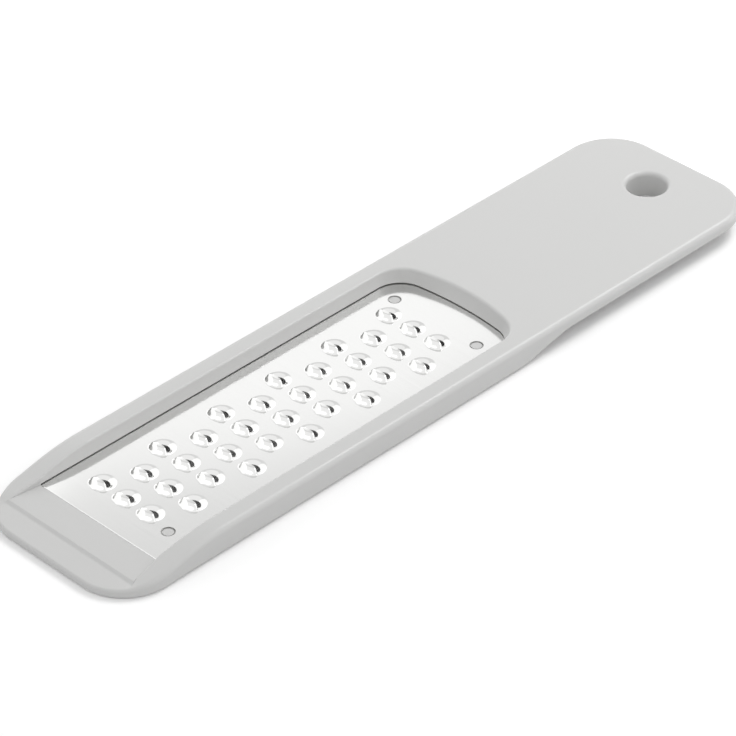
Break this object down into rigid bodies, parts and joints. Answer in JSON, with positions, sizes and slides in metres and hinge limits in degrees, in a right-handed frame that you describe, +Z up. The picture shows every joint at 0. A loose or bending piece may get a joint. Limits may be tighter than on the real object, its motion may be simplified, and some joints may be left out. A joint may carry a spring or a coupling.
{
  "type": "hand grater",
  "caption": "Flat hand grater: stamped steel plate with raised open teeth, set between the rails of a moulded plastic frame with a ramped front lip and a slim handle with a hanging hole",
  "frame": {"origin": "under the middle of the grater, on the plane of the lower faces of the front lip and the rails", "axes": "+X along the grater towards the handle, +Y across it, +Z up out of the toothed side"},
  "size_m": [0.225, 0.054, 0.0072],
  "materials": {
    "frame_plastic": "light grey moulded plastic with a fine satin grain",
    "plate_steel": "bright stainless sheet, brushed across its width, with polished teeth"
  },
  "bodies": {
    "root": {"moulded_frame": "frame_plastic", "grating_plate": "plate_steel"}
  },
  "joints": []
}
